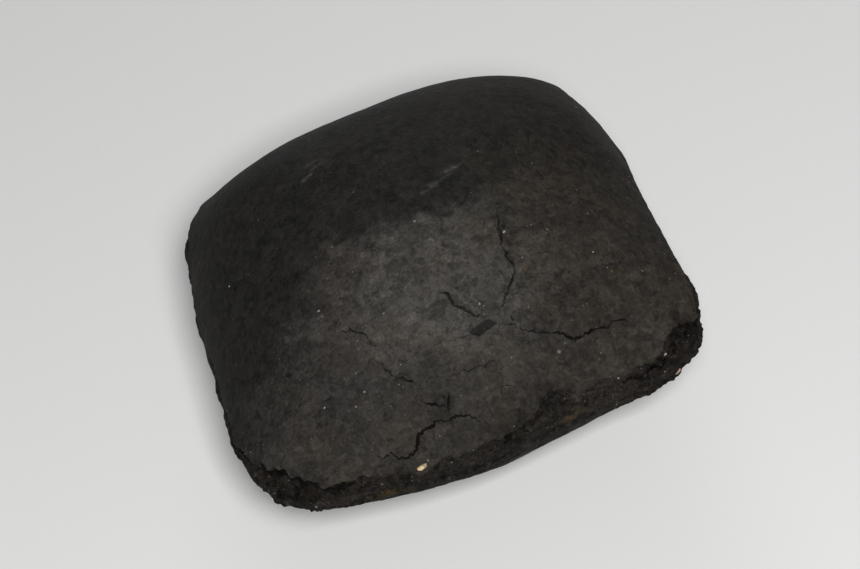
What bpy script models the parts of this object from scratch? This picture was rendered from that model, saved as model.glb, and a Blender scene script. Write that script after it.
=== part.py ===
"""Charcoal briquette: one pressed pillow of charcoal that lies on a small flat of its belly.

Two domed halves meet in a seam that runs round the middle. The form is a formula over a rounded
square, and the relief of the pressed charcoal is moved out of it along the surface's own normals.
"""
import math

import bmesh
import bpy
from mathutils import Vector, noise

# Plan of the pillow, seen from above: a rounded square a little out of true, whose back edge is
# narrower than its middle on each side and is shifted to the right
HALF_WIDTH = 0.0260
HALF_DEPTH = 0.0251
SQUARENESS = 0.88
BACK_NARROWING = 0.0010
BACK_SHIFT = 0.0006
# Slow waves in the outline: how many there are round it, how high they are, and their turn
OUTLINE_WAVES = (
    (5, 0.00012, math.radians(-97)),
    (6, 0.00019, math.radians(116)),
    (7, 0.00020, math.radians(69)),
)

# Height of each half, and how far the crown above and the belly below lean out of the middle
DOME_RISE = 0.0146
DOME_POWER = 0.629
CROWN_LEAN = Vector((0.0014, 0.0016))
BELLY_LEAN = Vector((0.0002, 0.0002))

# The seam: half the height of its band, its bulge, and the lip that the two moulds leave
SEAM_HALF_HEIGHT = 0.0013
SEAM_BULGE = 0.0003
LIP_REACH = 0.0006
LIP_SHARPNESS = 9

# The band along the seam where the skin is broken off: how high over the seam's plane it reaches, how
# deep it lies, the width of the step at its edge, and the slow sway and the raggedness of that edge
BAND_HEIGHT = 0.0019
BAND_RECESS = 0.00035
BAND_STEP = 0.0006
BAND_SWAY = 0.0008
BAND_SWAY_SIZE = 0.007
BAND_RAGGEDNESS = 0.00045
BAND_RAGGED_SIZE = 0.0021
# Places where the band reaches further up: plan place, reach and added height
BAND_BULGES = (
    (Vector((0.0063, -0.0242)), 0.0024, 0.0016),
    (Vector((-0.0230, -0.0208)), 0.0040, 0.0007),
    (Vector((0.0218, -0.0219)), 0.0022, 0.0012),
)

# Relief of the pressed charcoal: the size of its lumps and how far they stand out
BROAD_LUMP = 0.017
BROAD_HEIGHT = 0.00040
SMALL_LUMP = 0.0065
SMALL_HEIGHT = 0.00018
CRUMB_SIZE = 0.0034
CRUMB_HEIGHT = 0.00045
CRUMB_BAND = 0.0022

# Corners that broke off at the seam: direction from the centre, rise of that direction, and depth
CHIPS = (
    (math.radians(224), math.radians(16), 0.0004),
    (math.radians(318), math.radians(14), 0.0004),
    (math.radians(47), math.radians(-16), 0.0005),
    (math.radians(133), math.radians(-12), 0.0004),
)
CHIP_FLATNESS = 0.88

# The flat that the briquette rests on: how much of the belly is worn off, and where relief ends
FLAT_DEPTH = 0.00045
CALM_RADIUS = 0.0075

# Mesh: cells along each side of a half, rows between the halves, and how the cells crowd to the rim
CELLS = 50
SEAM_ROWS = 3
RIM_CROWDING = 0.33

CHARCOAL_COLOUR = (0.030, 0.028, 0.027, 1.0)
CHARCOAL_ROUGHNESS = 0.85


def remove_old_objects():
    for old in list(bpy.data.objects):
        bpy.data.objects.remove(old, do_unlink=True)


def rim_share(angle):
    """Distance from the centre to the rim of the pure rounded square, in half widths."""
    product = SQUARENESS * (math.cos(angle) * math.sin(angle)) ** 2
    if product < 1e-9:
        return 1.0
    return math.sqrt((1 - math.sqrt(1 - 4 * product)) / (2 * product))


def wave_share(angle):
    """How far the waves of the outline carry the rim out at this angle, in half widths."""
    total = 0.0
    for count, height, turn in OUTLINE_WAVES:
        total += height * math.cos(count * angle - turn)
    return total / HALF_WIDTH


def pillow_point(across, along, level):
    """Point of the smooth pillow for a point of the starting cube, which runs from -1 to 1."""
    angle = math.atan2(along, across)
    ring = max(abs(across), abs(along))
    reach = math.sin(math.pi / 2 * ring + RIM_CROWDING / 2 * math.sin(math.pi * ring))
    rim = rim_share(angle)
    u = reach * rim * math.cos(angle)
    v = reach * rim * math.sin(angle)
    inside = max(0.0, 1 - u * u - v * v + SQUARENESS * (u * v) ** 2)
    rise = inside ** DOME_POWER
    spread = 1 + reach ** 2 * wave_share(angle) + LIP_REACH / HALF_WIDTH * (1 - rise) ** LIP_SHARPNESS
    if abs(level) < 1:
        spread += SEAM_BULGE / HALF_WIDTH * (1 - level ** 2)
    lean = CROWN_LEAN if level > 0 else BELLY_LEAN
    half_width_here = HALF_WIDTH - BACK_NARROWING * v
    x = (half_width_here * u + BACK_SHIFT * v) * spread + lean.x * rise
    y = HALF_DEPTH * v * spread + lean.y * rise
    z = level * SEAM_HALF_HEIGHT
    if abs(level) == 1:
        z += level * DOME_RISE * rise
    return Vector((x, y, z))


def broken_share(point):
    """1 in the band along the seam where the skin is broken off, 0 on the skin."""
    edge = BAND_HEIGHT + BAND_SWAY * noise.noise(point / BAND_SWAY_SIZE)
    edge += BAND_RAGGEDNESS * noise.noise(point / BAND_RAGGED_SIZE)
    if point.z > 0:
        for place, reach, height in BAND_BULGES:
            edge += height * math.exp(-((point.xy - place).length / reach) ** 2)
    share = min(1.0, max(0.0, (edge - abs(point.z)) / BAND_STEP + 0.5))
    return share * share * (3 - 2 * share)


def relief(point):
    """Height of the pressed charcoal's relief over the smooth pillow at this point."""
    lumps = BROAD_HEIGHT * noise.noise(point / BROAD_LUMP) + SMALL_HEIGHT * noise.noise(point / SMALL_LUMP)
    seam_nearness = math.exp(-(point.z / CRUMB_BAND) ** 2)
    crumbs = CRUMB_HEIGHT * noise.noise(point / CRUMB_SIZE) * seam_nearness
    if point.z < 0:
        plan_distance = (point.xy - BELLY_LEAN).length
        lumps *= min(1.0, (plan_distance / CALM_RADIUS) ** 2)
    return lumps + crumbs - BAND_RECESS * broken_share(point)


def cut_cube(mesh):
    """Starting cube: its top and bottom in square cells, its sides in a few rows for the seam."""
    bmesh.ops.create_cube(mesh, size=2)
    level_edges = [edge for edge in mesh.edges if edge.verts[0].co.z == edge.verts[1].co.z]
    bmesh.ops.subdivide_edges(mesh, edges=level_edges, cuts=CELLS - 1, use_grid_fill=True)
    upright_edges = [edge for edge in mesh.edges if edge.verts[0].co.z != edge.verts[1].co.z]
    bmesh.ops.subdivide_edges(mesh, edges=upright_edges, cuts=SEAM_ROWS - 1)


def break_corners(mesh):
    """Presses what stands out past each chip's plane back to it, but for a trace of its roundness."""
    for turn, rise, depth in CHIPS:
        outward = Vector((math.cos(turn) * math.cos(rise), math.sin(turn) * math.cos(rise), math.sin(rise)))
        plane = max(vertex.co.dot(outward) for vertex in mesh.verts) - depth
        for vertex in mesh.verts:
            excess = max(0.0, vertex.co.dot(outward) - plane)
            vertex.co -= outward * excess * CHIP_FLATNESS


def wear_flat(mesh):
    """Wears the lowest point of the belly down to one small flat face."""
    floor = min(vertex.co.z for vertex in mesh.verts) + FLAT_DEPTH
    for vertex in mesh.verts:
        vertex.co.z = max(vertex.co.z, floor)


def stand_on_origin(mesh):
    """Moves the briquette so that the middle of its underside's box is at the origin."""
    low = Vector([min(vertex.co[axis] for vertex in mesh.verts) for axis in range(3)])
    high = Vector([max(vertex.co[axis] for vertex in mesh.verts) for axis in range(3)])
    foot = Vector(((low.x + high.x) / 2, (low.y + high.y) / 2, low.z))
    bmesh.ops.translate(mesh, verts=mesh.verts, vec=-foot)


def charcoal_material():
    material = bpy.data.materials.new("charcoal")
    material.use_nodes = True
    shader = material.node_tree.nodes["Principled BSDF"]
    shader.inputs["Base Color"].default_value = CHARCOAL_COLOUR
    shader.inputs["Roughness"].default_value = CHARCOAL_ROUGHNESS
    shader.inputs["Metallic"].default_value = 0.0
    return material


def make_briquette():
    """The briquette's one solid: the cube drawn out to the pillow, with its relief and its flat."""
    mesh = bmesh.new()
    cut_cube(mesh)
    for vertex in mesh.verts:
        vertex.co = pillow_point(*vertex.co)
    mesh.normal_update()
    heights = [relief(vertex.co) for vertex in mesh.verts]
    for vertex, height in zip(mesh.verts, heights):
        vertex.co += vertex.normal * height
    break_corners(mesh)
    wear_flat(mesh)
    stand_on_origin(mesh)
    bmesh.ops.triangulate(mesh, faces=mesh.faces)
    data = bpy.data.meshes.new("briquette")
    mesh.to_mesh(data)
    mesh.free()
    data.shade_smooth()
    data.materials.append(charcoal_material())
    briquette = bpy.data.objects.new("briquette", data)
    bpy.context.scene.collection.objects.link(briquette)
    return briquette


remove_old_objects()
make_briquette()
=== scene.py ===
"""Charcoal briquette: the finish of one pressed pillow of charcoal, on a pale floor.

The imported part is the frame. A finer skin with the same form replaces its one node: it adds the
crumbly band of the seam, broken corners, hairline cracks, pits and grain. Mineral grains sit in it.
"""
import math

import bmesh
import bpy
import numpy as np
from bpy.props import FloatProperty, FloatVectorProperty, IntProperty, PointerProperty
from bpy.types import Operator, Panel, PropertyGroup
from mathutils import Euler, Matrix, Vector, kdtree, noise
from mathutils.bvhtree import BVHTree


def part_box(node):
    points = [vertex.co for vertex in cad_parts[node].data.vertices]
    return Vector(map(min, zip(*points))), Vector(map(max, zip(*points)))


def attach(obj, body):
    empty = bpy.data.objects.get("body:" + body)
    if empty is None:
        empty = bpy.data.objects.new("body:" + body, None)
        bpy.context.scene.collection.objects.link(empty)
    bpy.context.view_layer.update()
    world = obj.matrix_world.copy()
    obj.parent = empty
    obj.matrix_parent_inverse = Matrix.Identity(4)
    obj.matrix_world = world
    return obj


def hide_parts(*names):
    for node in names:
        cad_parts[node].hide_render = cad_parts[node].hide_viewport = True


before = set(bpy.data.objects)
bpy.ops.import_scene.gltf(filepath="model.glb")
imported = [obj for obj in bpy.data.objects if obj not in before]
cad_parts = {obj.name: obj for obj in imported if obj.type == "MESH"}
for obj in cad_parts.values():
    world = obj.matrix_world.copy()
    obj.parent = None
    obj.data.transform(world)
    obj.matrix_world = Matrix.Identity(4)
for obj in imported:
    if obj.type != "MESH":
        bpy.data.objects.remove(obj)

bl_info = {
    "name": "Charcoal Briquette",
    "version": (1, 0, 0),
    "blender": (4, 5, 0),
    "location": "3D View > Sidebar > Briquette",
    "description": "Builds a pressed charcoal briquette with its cracks, chips and grain",
    "category": "Add Mesh",
}

NODE = "briquette"
CAD_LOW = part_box(NODE)[0]
MM = 0.001

# Middle of the seam's plane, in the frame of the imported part
SEAM_MIDDLE = np.array((0.000453, 0.000172, 0.015450))

# Slow waves in the outline: how many there are round it, how high they are, and their turn
OUTLINE_WAVES = (
    (5, 0.00012, math.radians(-97)),
    (6, 0.00019, math.radians(116)),
    (7, 0.00020, math.radians(69)),
)
# Corners that broke off at the seam: direction from the centre, rise of that direction, and depth
CHIPS = (
    (math.radians(224), math.radians(16), 0.0004),
    (math.radians(318), math.radians(14), 0.0004),
    (math.radians(47), math.radians(-16), 0.0005),
    (math.radians(133), math.radians(-12), 0.0004),
)
CHIP_FLATNESS = 0.88

# Hairline cracks in the upper half: half width and depth in the middle, then plan places, in millimetres
CRACKS = (
    (0.13, 0.40, (
        (9.1, -4.3), (8.3, -7.0), (7.6, -9.4), (7.4, -11.2), (7.7, -12.7), (7.6, -13.3), (6.9, -14.1),
        (5.9, -15.1), (4.6, -16.2))),
    (0.15, 0.50, ((-1.1, -12.3), (-0.3, -13.3), (0.0, -14.5), (0.8, -15.3), (1.7, -16.3), (2.3, -16.3))),
    (0.07, 0.15, ((-1.9, -17.5), (-0.7, -17.8), (0.6, -17.8))),
    (0.12, 0.50, (
        (3.8, -17.7), (5.2, -18.2), (5.8, -18.9), (7.0, -19.1), (8.0, -19.6), (9.3, -20.0), (10.7, -20.8),
        (12.1, -20.6), (13.6, -20.4), (14.6, -20.6), (15.5, -20.1), (17.6, -20.6))),
    (0.08, 0.25, ((5.2, -18.2), (5.4, -17.3))),
    (0.07, 0.15, ((-3.9, -20.6), (-1.9, -20.5), (-0.1, -20.7), (2.4, -20.7))),
    (0.07, 0.20, ((1.3, -22.8), (2.4, -22.7))),
    (0.14, 0.50, (
        (-13.5, -23.4), (-12.3, -23.6), (-11.3, -24.2), (-10.1, -24.5), (-9.5, -24.3), (-8.8, -23.5),
        (-7.8, -23.3), (-6.4, -23.4), (-5.1, -23.3), (-4.0, -23.7), (-2.9, -23.7), (-2.0, -24.7))),
    (0.13, 0.40, ((-4.8, -23.2), (-4.2, -21.6))),
    (0.14, 0.45, ((-7.0, -21.3), (-6.4, -21.9), (-5.0, -22.2), (-4.4, -22.9))),
    (0.10, 0.30, ((-10.0, -16.3), (-9.4, -17.2), (-9.0, -18.1), (-7.7, -19.0), (-7.0, -19.9))),
    (0.10, 0.25, ((-12.5, -11.8), (-11.2, -12.4), (-10.0, -13.3), (-9.5, -15.2))),
    (0.20, 0.60, ((14.1, -24.7), (16.2, -24.6), (18.2, -24.3), (19.9, -23.9))),
)
CRACK_STEP = 0.04 * MM
# Sideways wander of the cracks: length of each swing, and how far it carries
CRACK_WANDERS = ((0.9 * MM, 0.26 * MM), (0.3 * MM, 0.17 * MM))
# A crack's strength along it is a part of half a wave: where that part starts, and how long it is
CRACK_TIP = 0.12
CRACK_SPAN = 0.76
# How uneven a crack's strength is, the length of the unevenness, and the least strength
CRACK_UNEVENNESS = 0.9
CRACK_UNEVEN_SIZE = 0.9 * MM
CRACK_LEAST = 0.65
# Reach of the soft halo of painted shade beside a crack
CRACK_HALO = 0.30 * MM
# How far from a crack, a scuff or the notch the cells are cut finer, and how many cuts each edge gets
FINE_REACH = 0.5 * MM
FINE_CUTS = 4
MARKS_ALONG_SCUFF = 8
MARKS_ALONG_NOTCH = 9
# Sizes of the chance patches in halos, hollows and scuffs, and in smudges, partly painted shade, and pale
# dust
FINE_PATCH = 0.5 * MM
SMALL_PATCH = 0.9 * MM

# A small flat-bottomed notch between the cracks: its middle, turn, half length, half width and depth
NOTCH_PLACE = (2.0 * MM, -17.6 * MM)
NOTCH_TURN = math.radians(14)
NOTCH_HALF_LENGTH = 1.3 * MM
NOTCH_HALF_WIDTH = 0.45 * MM
NOTCH_DEPTH = 0.35 * MM
NOTCH_RAGGED_SIZE = 0.4 * MM

# Small hollows in the upper half: plan place, radius and depth, in millimetres
HOLLOWS = (
    ((1.6, -8.2), 0.45, 0.20), ((2.2, -6.9), 0.40, 0.15), ((-5.4, -4.8), 0.50, 0.25),
    ((-8.1, -7.3), 0.45, 0.20), ((-14.4, -2.7), 0.55, 0.25), ((-12.3, -10.6), 0.40, 0.20),
    ((8.3, -10.2), 0.55, 0.25), ((8.5, -8.2), 0.40, 0.25), ((-2.6, -9.6), 0.40, 0.15),
    ((-19.0, -12.5), 0.40, 0.15), ((13.5, -7.5), 0.40, 0.15),
)
# How dark the hollows are painted: painted shade in them
HOLLOW_PAINTED_SHADE = 0.72
# Soft dark smudges, partly painted shade and partly darker charcoal: plan place, radius in millimetres, and
# strength
SMUDGES_AND_SHADE = (
    ((-5.0, -22.6), 1.7, 0.45), ((8.6, -9.4), 1.3, 0.38), ((6.4, -24.3), 2.2, 0.45),
    ((-14.4, -2.9), 1.5, 0.25), ((-8.3, -7.4), 1.6, 0.20), ((2.3, -7.2), 1.1, 0.20),
    ((23.0, -21.9), 2.0, 0.50),
    ((1.2, -25.3), 2.3, 0.40), ((-1.0, -25.5), 1.4, 0.35), ((-21.5, -22.6), 2.6, 0.40),
)

# Plan line, in millimetres, that parts the smooth crown and back from the dusty front, and how soft it is
DUST_LINE = (
    (-27.0, -14.0), (-24.0, -13.0), (-20.4, -11.0), (-16.3, -7.5), (-14.0, -4.5), (-10.5, -1.5), (-8.3, -2.6),
    (-1.9, -3.6), (8.0, -4.0), (10.0, -2.5), (15.1, 0.8), (20.8, 1.0),
)
DUST_SOFTNESS = ((-27.0, 9.0), (-13.0, 7.0), (-8.0, 2.5), (0.0, 2.2), (7.0, 2.2), (10.0, 9.0), (20.0, 13.0))
# The palest patch of the dusty front: its plan middle and its reach each way, in millimetres
PALE_PATCH = ((-1.2, -11.3), (10.3, 8.2))
# Noise that makes the dust's edge wander, and noise that says where the lower half is dusty: strength, size
DUST_WOBBLE = ((3.0 * MM, 4.5 * MM), (2.0 * MM, 1.3 * MM), (1.6 * MM, 0.6 * MM))
LOWER_DUST = ((1.6, 13 * MM), (0.7, 3 * MM))
# Height over the seam in which the upper half's dust takes over from the lower half's
DUST_CHANGE = 2 * MM
# Where the charcoal turns brownish, on the right of the upper half: start and width of the change
WARM_START = 7.5 * MM
WARM_WIDTH = 5.0 * MM
# The front edge is brownish too: where that starts, and the width of the change
WARM_FRONT_START = -19 * MM
WARM_FRONT_WIDTH = 5 * MM

# Pale scuffs on the crown: plan places of each stroke's ends, in millimetres
SCUFFS = (
    ((-9.9, 9.3), (-7.4, 9.7)), ((-8.6, 10.2), (-5.6, 10.4)), ((-8.9, 11.3), (-6.4, 11.6)),
    ((1.4, -1.4), (3.6, -0.6)), ((2.6, -0.8), (6.4, 0.5)), ((4.2, 0.4), (7.4, 1.3)),
)
SCUFF_HALF_WIDTH = 0.19 * MM

# Ochre stains in the seam: place over the seam's plane and reach, in millimetres
STAINS = (((-13.8, -24.9, -1.5), 0.9), ((7.8, -25.0, -0.6), 1.3), ((5.4, -25.0, -0.8), 0.7))
# Shape of a stain: its spread across, in depth and up, as shares of its reach
STAIN_SHAPE = (1.6, 1.0, 0.55)

# Bulges in the upper edge of the seam's band: plan place, reach and height, in millimetres
BAND_BULGES = (((6.3, -24.2), 2.4, 1.6), ((-23.0, -20.8), 4.0, 0.7), ((21.8, -21.9), 2.2, 1.2))
# How crumbly the band is along the front, from left to right: place in millimetres, and share
CRUMBLE_ALONG = (
    (-26.0, 1.0), (-17.0, 1.0), (-14.0, 0.6), (-8.0, 0.4), (-3.5, 0.5), (-1.0, 0.65), (4.0, 0.65), (6.5, 0.5),
    (10.0, 0.35), (13.5, 0.5), (16.5, 0.95), (26.0, 1.0),
)
# Where the front ends and chance takes over, and the width of the change
FRONT_START = -18 * MM
FRONT_WIDTH = 4 * MM
CRUMBLE_PATCH = 6 * MM
# How much further down than up the broken look reaches: partly the broken band, partly painted shade on the
# belly strip under the seam
BROKEN_LOOK_AND_SHADE_DROP = 2.8 * MM
# Width of the broken look's edge, in millimetres: where it is crumbly, and how much more where it is worn
BROKEN_EDGE = (0.22, 1.6)
# Fine raggedness of the band's edge, and unevenness of the skin: strength and size of each layer
EDGE_RAGGEDNESS = ((0.30 * MM, 0.8 * MM), (0.15 * MM, 0.4 * MM))
SKIN_ROUGHNESS = ((1.0, 1.5 * MM), (0.7, 0.6 * MM))
# The gaps under the skin's edge, cut in and darkened as painted shade: how far inside it they lie, their half
# width, and the size of their patches
GROOVE_INSET = 0.25 * MM
GROOVE_HALF_WIDTH = 0.2 * MM
GROOVE_PATCH = 3.6 * MM
# Width of the sharp ledge, and sizes of the finest grains and of the clods in the band
LEDGE_WIDTH = 0.22 * MM
FINE_GRAIN = 0.45 * MM
CLOD = 1.9 * MM


class BriquetteForm(PropertyGroup):
    """Sizes of the pillow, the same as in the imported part."""
    half_width: FloatProperty(
        name="Half width", description="Half of the plan, left to right",
        default=0.0260, precision=5, unit="LENGTH")
    half_depth: FloatProperty(
        name="Half depth", description="Half of the plan, front to back",
        default=0.0251, precision=5, unit="LENGTH")
    squareness: FloatProperty(
        name="Squareness", description="0 makes the plan round, 1 makes it square", default=0.88)
    back_narrowing: FloatProperty(
        name="Back narrowing", description="How much narrower each side of the back edge is",
        default=0.0010, precision=5, unit="LENGTH")
    back_shift: FloatProperty(
        name="Back shift", description="How far the back edge is shifted to the right",
        default=0.0006, precision=5, unit="LENGTH")
    dome_rise: FloatProperty(
        name="Dome rise", description="Height of each half over the band of the seam",
        default=0.0146, precision=5, unit="LENGTH")
    dome_power: FloatProperty(
        name="Dome power", description="Lower is fuller towards the seam", default=0.629)
    crown_lean: FloatVectorProperty(
        name="Crown lean", description="How far the crown leans out of the middle",
        default=(0.0014, 0.0016), size=2, precision=5, unit="LENGTH")
    belly_lean: FloatVectorProperty(
        name="Belly lean", description="How far the belly leans out of the middle",
        default=(0.0002, 0.0002), size=2, precision=5, unit="LENGTH")
    seam_half_height: FloatProperty(
        name="Seam half height", description="Half of the height of the seam's band",
        default=0.0013, precision=5, unit="LENGTH")
    seam_bulge: FloatProperty(
        name="Seam bulge", description="How far the band of the seam swells out",
        default=0.0003, precision=5, unit="LENGTH")
    lip_reach: FloatProperty(
        name="Lip reach", description="How far the moulds' lip stands out at the seam",
        default=0.0006, precision=5, unit="LENGTH")
    lip_sharpness: IntProperty(
        name="Lip sharpness", description="How closely the lip keeps to the seam", default=9)
    cells: IntProperty(
        name="Cells", description="Cells of the mesh along each side of a half", default=176)
    seam_rows: IntProperty(
        name="Seam rows", description="Rows of the mesh in the band of the seam", default=12)
    rim_crowding: FloatProperty(
        name="Rim crowding", description="How much closer the rings of cells lie near the seam", default=0.33)


class BriquetteRelief(PropertyGroup):
    """How far the pressed charcoal stands out of the smooth pillow."""
    broad_lump: FloatProperty(
        name="Broad lump", description="Size of the broad lumps",
        default=0.017, precision=5, unit="LENGTH")
    broad_height: FloatProperty(
        name="Broad height", description="Height of the broad lumps",
        default=0.00040, precision=5, unit="LENGTH")
    small_lump: FloatProperty(
        name="Small lump", description="Size of the small lumps",
        default=0.0065, precision=5, unit="LENGTH")
    small_height: FloatProperty(
        name="Small height", description="Height of the small lumps",
        default=0.00018, precision=5, unit="LENGTH")
    crumb_size: FloatProperty(
        name="Crumb size", description="Size of the crumbs at the seam",
        default=0.0034, precision=5, unit="LENGTH")
    crumb_height: FloatProperty(
        name="Crumb height", description="Height of the crumbs at the seam",
        default=0.00045, precision=5, unit="LENGTH")
    crumb_band: FloatProperty(
        name="Crumb band", description="How far from the seam its crumbs reach",
        default=0.0022, precision=5, unit="LENGTH")
    calm_radius: FloatProperty(
        name="Calm radius", description="Radius of the belly that the lumps leave even",
        default=0.0075, precision=5, unit="LENGTH")
    band_height: FloatProperty(
        name="Band height", description="How far over the seam the charcoal is broken open",
        default=0.0019, precision=5, unit="LENGTH")
    band_recess: FloatProperty(
        name="Band recess", description="How far the broken band lies under the skin",
        default=0.00035, precision=5, unit="LENGTH")
    band_step: FloatProperty(
        name="Band step", description="Width of the packed part's step at the edge of the band",
        default=0.0006, precision=5, unit="LENGTH")
    band_sway: FloatProperty(
        name="Band sway", description="Slow sway of the edge of the band",
        default=0.0008, precision=5, unit="LENGTH")
    band_sway_size: FloatProperty(
        name="Band sway size", description="Length of the slow sway of the edge",
        default=0.007, precision=5, unit="LENGTH")
    band_raggedness: FloatProperty(
        name="Band raggedness", description="Height of the raggedness of the edge of the band",
        default=0.00045, precision=5, unit="LENGTH")
    band_ragged_size: FloatProperty(
        name="Band ragged size", description="Length of the raggedness of the edge",
        default=0.0021, precision=5, unit="LENGTH")
    groove_depth: FloatProperty(
        name="Groove depth", description="Depth of the gaps under the edge of the skin",
        default=0.00040, precision=5, unit="LENGTH")
    grain_size: FloatProperty(
        name="Grain size", description="Size of the grains in a broken place",
        default=0.00095, precision=5, unit="LENGTH")
    grain_height: FloatProperty(
        name="Grain height", description="Height of the grains in a broken place",
        default=0.00042, precision=5, unit="LENGTH")
    dust_height: FloatProperty(
        name="Dust height", description="Height of the fine unevenness of the dusty skin",
        default=0.00007, precision=5, unit="LENGTH")
    smooth_height: FloatProperty(
        name="Smooth height", description="Height of the fine unevenness of the smooth skin",
        default=0.00002, precision=5, unit="LENGTH")
    pit_size: FloatProperty(
        name="Pit size", description="Spacing of the pits",
        default=0.0014, precision=5, unit="LENGTH")
    pit_depth: FloatProperty(
        name="Pit depth", description="Depth of the pits",
        default=0.0006, precision=5, unit="LENGTH")


class CharcoalFinish(PropertyGroup):
    """Colours and gloss of the charcoal and of the grains in it."""
    smooth_colour: FloatVectorProperty(
        name="Smooth colour", description="Colour of the smooth, rubbed skin",
        default=(0.0140, 0.0133, 0.0123), size=3, subtype="COLOR", min=0.0, max=1.0)
    dusty_colour: FloatVectorProperty(
        name="Dusty colour", description="Colour of the paler, dusty skin",
        default=(0.0500, 0.0463, 0.0415), size=3, subtype="COLOR", min=0.0, max=1.0)
    broken_colour: FloatVectorProperty(
        name="Broken colour", description="Colour of the charcoal where it is broken open",
        default=(0.0108, 0.0088, 0.0073), size=3, subtype="COLOR", min=0.0, max=1.0)
    warm_tint: FloatVectorProperty(
        name="Warm tint", description="Multiplies the colour where the charcoal is brownish",
        default=(1.03, 0.96, 0.88), size=3, subtype="COLOR", min=0.0, max=2.0)
    brown_tint: FloatVectorProperty(
        name="Brown tint", description="Multiplies the colour in the soft brownish patches",
        default=(1.04, 0.98, 0.94), size=3, subtype="COLOR", min=0.0, max=2.0)
    scuff_colour: FloatVectorProperty(
        name="Scuff colour", description="Colour of the rubbed scuffs",
        default=(0.048, 0.047, 0.045), size=3, subtype="COLOR", min=0.0, max=1.0)
    notch_colour: FloatVectorProperty(
        name="Notch colour", description="Colour of the floor of the notch",
        default=(0.0130, 0.0127, 0.0120), size=3, subtype="COLOR", min=0.0, max=1.0)
    stain_colour: FloatVectorProperty(
        name="Stain colour", description="Colour of the ochre stains in the seam",
        default=(0.034, 0.023, 0.012), size=3, subtype="COLOR", min=0.0, max=1.0)
    # The bright specks are pale grains painted brighter than they are, as painted glints
    glint_colour: FloatVectorProperty(
        name="Glint colour", description="Colour of the tiny bright specks",
        default=(0.160, 0.155, 0.145), size=3, subtype="COLOR", min=0.0, max=1.0)
    rust_colour: FloatVectorProperty(
        name="Rust colour", description="Colour of the few orange-brown specks",
        default=(0.10, 0.050, 0.022), size=3, subtype="COLOR", min=0.0, max=1.0)
    smooth_roughness: FloatProperty(
        name="Smooth roughness", description="Roughness of the smooth skin", default=0.62, min=0.0, max=1.0)
    dusty_roughness: FloatProperty(
        name="Dusty roughness", description="Roughness of the dusty skin", default=0.86, min=0.0, max=1.0)
    grain_count: IntProperty(
        name="Grain count", description="Number of small mineral grains set in the skin", default=150)


class BriquetteStage(PropertyGroup):
    """The floor, the lights and the camera."""
    floor_colour: FloatVectorProperty(
        name="Floor colour", description="Colour of the plain floor", default=(0.70, 0.70, 0.69),
        size=3, subtype="COLOR", min=0.0, max=1.0)
    azimuth: FloatProperty(
        name="Azimuth", description="Turn of the camera round the briquette; 0 looks to the back",
        default=math.radians(-7.5), unit="ROTATION")
    elevation: FloatProperty(
        name="Elevation", description="Height of the camera over the seam's plane",
        default=math.radians(47.9), unit="ROTATION")
    roll: FloatProperty(
        name="Roll", description="How far the picture is turned, right side up",
        default=math.radians(15.7), unit="ROTATION")
    distance: FloatProperty(
        name="Distance", description="From the briquette to the camera", default=0.364, unit="LENGTH")
    lens: FloatProperty(
        name="Lens", description="Focal length of the camera", default=135.0, unit="CAMERA")
    key_power: FloatProperty(
        name="Key power", description="Power of the soft light beside the camera", default=4.6, unit="POWER")
    back_power: FloatProperty(
        name="Back power", description="Power of the wide, low light behind the briquette",
        default=1.6, unit="POWER")
    surroundings: FloatProperty(
        name="Surroundings", description="Strength of the even light from all round", default=0.07)


def perlin(points, size):
    """Smooth noise between about -1 and 1 at each point, with lumps of the given size."""
    return np.array([noise.noise(Vector(point)) for point in points / size])


def noise_sum(points, layers):
    """Noise of several sizes added up: each layer is its strength and the size of its lumps."""
    return sum(strength * perlin(points, size) for strength, size in layers)


def packed_grains(points, size):
    """Rounded tops of packed grains: 1 in the middle of a grain, 0 in the gaps."""
    nearest = np.array([noise.voronoi(Vector(point))[0][0] for point in points / size])
    return np.clip(1 - nearest, 0, 1)


def ease(values):
    """Turns a straight ramp from 0 to 1 into one that starts and ends softly."""
    ramp = np.clip(values, 0, 1)
    return ramp * ramp * (3 - 2 * ramp)


def rim_share(angle, squareness):
    """Distance from the centre to the rim of the pure rounded square, in half widths."""
    product = np.maximum(squareness * (np.cos(angle) * np.sin(angle)) ** 2, 1e-9)
    return np.sqrt((1 - np.sqrt(1 - 4 * product)) / (2 * product))


def wave_share(angle, half_width):
    """How far the waves of the outline carry the rim out at each angle, in half widths."""
    return sum(height * np.cos(count * angle - turn) for count, height, turn in OUTLINE_WAVES) / half_width


def pillow_points(cube, form):
    """Points of the smooth pillow for points of the starting cube, which runs from -1 to 1."""
    across, along, level = cube.T
    angle = np.arctan2(along, across)
    ring = np.maximum(np.abs(across), np.abs(along))
    reach = np.sin(np.pi / 2 * ring + form.rim_crowding / 2 * np.sin(np.pi * ring))
    rim = rim_share(angle, form.squareness)
    u = reach * rim * np.cos(angle)
    v = reach * rim * np.sin(angle)
    inside = np.clip(1 - u * u - v * v + form.squareness * (u * v) ** 2, 0, 1)
    rise = inside ** form.dome_power
    lip = form.lip_reach / form.half_width * (1 - rise) ** form.lip_sharpness
    bulge = form.seam_bulge / form.half_width * (1 - level ** 2)
    spread = 1 + reach ** 2 * wave_share(angle, form.half_width) + lip + bulge
    above = level > 0
    lean_x = np.where(above, form.crown_lean[0], form.belly_lean[0]) * rise
    lean_y = np.where(above, form.crown_lean[1], form.belly_lean[1]) * rise
    half_width_here = form.half_width - form.back_narrowing * v
    x = (half_width_here * u + form.back_shift * v) * spread + lean_x
    y = form.half_depth * v * spread + lean_y
    on_dome = np.abs(level) > 0.9999
    z = level * form.seam_half_height + np.where(on_dome, np.sign(level) * form.dome_rise * rise, 0)
    return np.stack([x, y, z], axis=1)


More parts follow.
